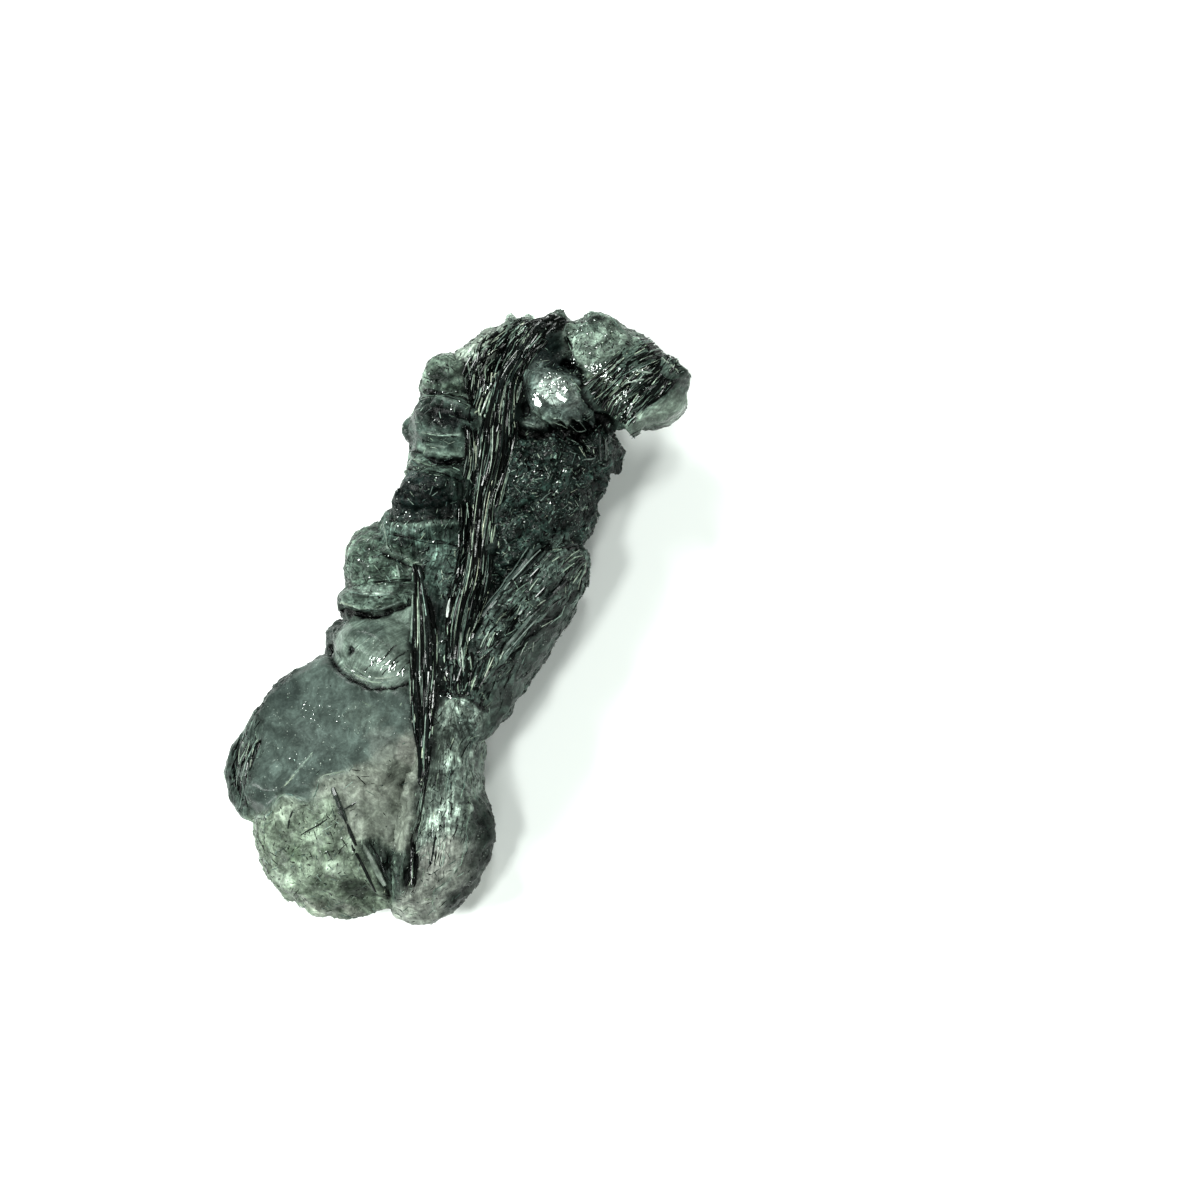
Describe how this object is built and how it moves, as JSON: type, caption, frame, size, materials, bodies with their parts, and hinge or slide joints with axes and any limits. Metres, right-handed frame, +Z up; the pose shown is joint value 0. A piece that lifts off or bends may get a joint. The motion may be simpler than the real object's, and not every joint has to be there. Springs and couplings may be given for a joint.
{
  "type": "apatite crystal",
  "caption": "Long group of rounded dark green apatite crystals grown together round a stem of black needles, with a wide smooth foot and a hooked head.",
  "frame": {"origin": "on the table, under the middle of the group's box", "axes": "+Y runs along the group from its wide foot to its hooked head, +X points to the flank that the needles lean to, +Z is up as it lies"},
  "size_m": [0.0184, 0.0356, 0.0096],
  "materials": {
    "apatite": "polished",
    "needles": "polished"
  },
  "bodies": {
    "root": {"apatite_crystal": "apatite"}
  },
  "joints": []
}
